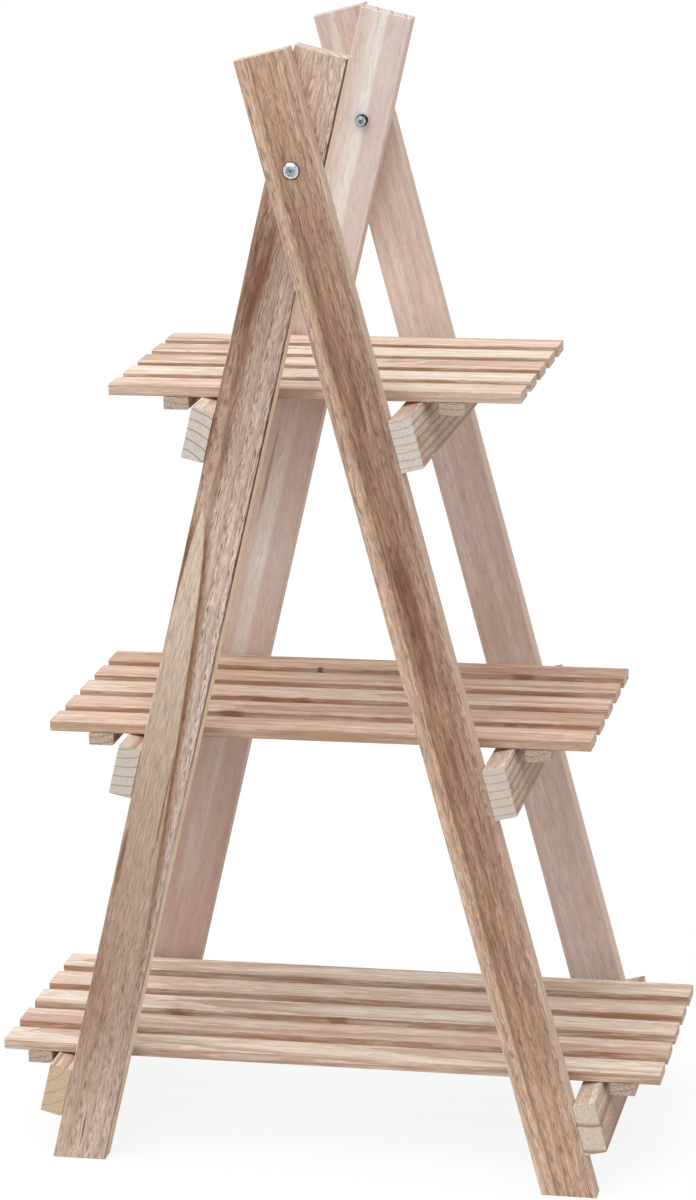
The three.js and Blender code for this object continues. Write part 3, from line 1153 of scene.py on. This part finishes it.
# Countersunk wood screw, 4 x 40, with a cross recess: one through each rail end into the leg.
screw = turned(
    [
        (0.2, -40.0),
        (1.35, -33.5),
        (1.35, -14.0),
        (1.6, -13.0),
        (1.6, -4.2),
        (2.1, -2.6),
        (4.0, -0.4),
        (4.0, -0.1),
        (3.9, 0.0),
    ],
    24,
)
for quarter_turn in (0, 90):
    pick()
    bpy.ops.mesh.primitive_cube_add(size=MM)
    blade = bpy.context.object
    bpy.ops.object.mode_set(mode="EDIT")
    bpy.ops.transform.resize(value=(4.4, 0.9, 2.4))
    bpy.ops.transform.translate(value=(0, 0, -0.7 * MM))
    bpy.ops.object.mode_set(mode="OBJECT")
    for face in blade.data.polygons:
        face.select = face.normal.z < -0.9
    bpy.ops.object.mode_set(mode="EDIT")
    bpy.context.tool_settings.mesh_select_mode = (False, False, True)
    bpy.ops.transform.resize(value=(0.4, 0.7, 1), center_override=(0, 0, 0))
    bpy.ops.object.mode_set(mode="OBJECT")
    blade.rotation_euler.z = math.radians(quarter_turn)
    bpy.ops.object.transform_apply(location=False, rotation=True, scale=False)
    combine(screw, blade, "DIFFERENCE")
screw = joined(screw, thread(root=1.3, crest=2.0, start=-34.0, pitch=1.8, turns=11, steps=16))
plate(screw, screw_zinc)

LADDERS = (
    ("left", -1, "inner_ladder", INNER_FACE - LEG_THICKNESS / 2),
    ("right", 1, "outer_ladder", OUTER_FACE - LEG_THICKNESS / 2),
)
for hand, side, body, leg_middle in LADDERS:
    ladder = Matrix.Translation((0, 0, PIVOT_HEIGHT)) @ Matrix.Rotation(-side * LEG_LEAN, 4, "Y")
    outwards = Matrix.Rotation(math.radians(90 * side), 4, "Y")
    for tier in TIERS:
        for end, direction in ENDS:
            node = f"{tier}_{hand}_rail_{end}_screw"
            head = (side * SCREW_HEAD, direction * leg_middle, RAIL_MIDDLES[tier])
            place = ladder @ Matrix.Translation(head) @ outwards
            fit(screw, node + "_detail", place, body, node)
drop(screw)

# Nails, 1.6 x 20: two through each batten into each slat, their heads flush under the batten.
nail = turned([(0.1, 19.5), (0.8, 17.5), (0.8, 0.7), (1.6, 0.55), (1.6, 0.05), (1.45, -0.05)], 12)
plate(nail, nail_zinc)
for tier in TIERS:
    for hand, _ in HANDS:
        batten = f"{tier}_shelf_{hand}_batten"
        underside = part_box(batten)[0].z
        for number in range(1, SLATS + 1):
            slat_middle = middle(f"{tier}_shelf_slat_{number}").y
            for corner, offset in ((1, -1), (2, 1)):
                along = middle(batten).x + NAIL_ALONG * offset
                across = slat_middle + NAIL_ACROSS * offset
                place = Matrix.Translation((along, across, underside))
                name = f"{tier}_shelf_{hand}_nail_{number}_{corner}"
                fit(nail, name, place, f"{tier}_shelf")
drop(nail)

# ------------------------------------------------------------ studio

FLOOR_SIZE = 60  # metres
FLOOR_HEIGHT = -0.0003  # just clear of the feet
FLOOR_TONE = "#bdbdbd"  # in the light that the floor throws back on the stand
FLOOR_WHITE = 0.87  # the share of plain white that the camera sees; the rest keeps the shadow
AMBIENT = 0.7
LAMP_POWER = 1.9
LAMP_SPREAD = math.radians(60)

scene = bpy.context.scene
scene.view_settings.view_transform = "Standard"


def seen(tree):
    """1 for what the camera sees, straight, mirrored or through glass, and 0 for other light."""
    ray = add(tree, "LightPath")
    direct = add(
        tree,
        "Math",
        {0: ray.outputs["Is Camera Ray"], 1: ray.outputs["Is Glossy Ray"]},
        operation="MAXIMUM",
    ).outputs[0]
    return add(
        tree, "Math", {0: direct, 1: ray.outputs["Is Transmission Ray"]}, operation="MAXIMUM"
    ).outputs[0]


pick()
bpy.ops.mesh.primitive_plane_add(size=FLOOR_SIZE, location=(0, 0, FLOOR_HEIGHT))
floor = bpy.context.object
floor.name = "studio_floor"
paper, tree = new_material("matt_white_paper")
in_view = seen(tree)
tone = add(
    tree,
    "Mix",
    {0: in_view, MIX_A: linear(FLOOR_TONE), MIX_B: linear("#ffffff")},
    data_type="RGBA",
).outputs[MIX_RESULT]
matt = add(tree, "BsdfDiffuse", {"Color": tone}).outputs[0]
plain = add(tree, "Emission", {"Color": linear("#ffffff"), "Strength": 1.0}).outputs[0]
share = add(tree, "Math", {0: in_view, 1: FLOOR_WHITE}, operation="MULTIPLY").outputs[0]
sheet = add(tree, "MixShader", {0: share, 1: matt, 2: plain}).outputs[0]
add(tree, "OutputMaterial", {"Surface": sheet})
floor.data.materials.append(paper)

# Even light from all round, seen as white, and a wide soft lamp overhead.
world = bpy.data.worlds.new("studio_light")
world.use_nodes = True
scene.world = world
tree = world.node_tree
tree.nodes.clear()
strength = add(
    tree, "Math", {0: seen(tree), 1: 1 - AMBIENT, 2: AMBIENT}, operation="MULTIPLY_ADD"
).outputs[0]
sky = add(tree, "Background", {"Color": linear("#ffffff"), "Strength": strength})
add(tree, "OutputWorld", {"Surface": sky.outputs[0]})

lamp_data = bpy.data.lights.new("overhead_softbox", "SUN")
lamp_data.energy = LAMP_POWER
lamp_data.angle = LAMP_SPREAD
lamp = bpy.data.objects.new("overhead_softbox", lamp_data)
lamp.rotation_euler = Vector((0.25, 0.35, -1.0)).to_track_quat("-Z", "Y").to_euler()
scene.collection.objects.link(lamp)

# ------------------------------------------------------------ camera

# Fitted, with the sizes of the boards, to the corners and edges in the photograph.
CAMERA_PLACE = (0.80554, -3.69683, 1.53506)
CAMERA_HEADING = math.radians(12.227)
CAMERA_TILT = math.radians(-14.892)
CAMERA_ROLL = math.radians(1.354)
LEVEL = math.radians(90)  # turns a camera that looks straight down to look ahead

camera_data = bpy.data.cameras.new("studio_camera")
camera_data.sensor_width = 36
camera_data.lens = 121.69
camera_data.clip_end = 100
camera = bpy.data.objects.new("studio_camera", camera_data)
aim = (
    Matrix.Rotation(CAMERA_HEADING, 4, "Z")
    @ Matrix.Rotation(CAMERA_TILT, 4, "X")
    @ Matrix.Rotation(CAMERA_ROLL, 4, "Y")
    @ Matrix.Rotation(LEVEL, 4, "X")
)
camera.matrix_world = Matrix.Translation(CAMERA_PLACE) @ aim
scene.collection.objects.link(camera)
scene.camera = camera
